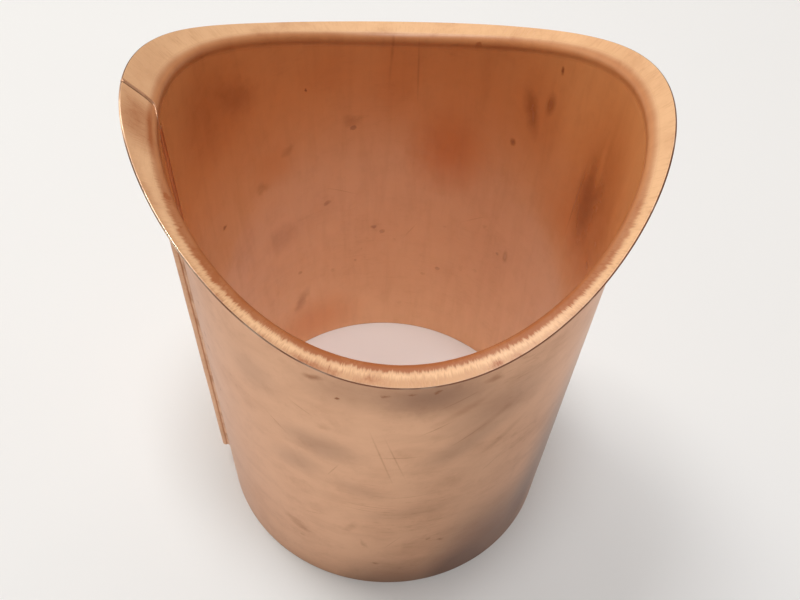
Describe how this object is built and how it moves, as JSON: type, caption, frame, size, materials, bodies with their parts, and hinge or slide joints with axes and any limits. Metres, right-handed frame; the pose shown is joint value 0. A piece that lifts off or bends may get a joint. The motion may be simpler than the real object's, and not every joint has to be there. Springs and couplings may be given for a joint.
{
  "type": "gutter outlet",
  "caption": "Rolled copper outlet tube with an outside lock seam and a flared saddle flange that beds inside a half-round gutter.",
  "frame": {"origin": "centre of the tube at the spigot's lower end", "axes": "+Z along the tube's axis, up towards the saddle flange; the gutter it fits runs along Y; the lock seam is on the -X side"},
  "size_m": [0.1101, 0.1114, 0.1402],
  "materials": {
    "copper_sheet": "satin",
    "solder": "satin"
  },
  "bodies": {
    "root": {"outlet_sheet": "copper_sheet", "joint_solder": "solder", "foot_solder": "solder"}
  },
  "joints": []
}
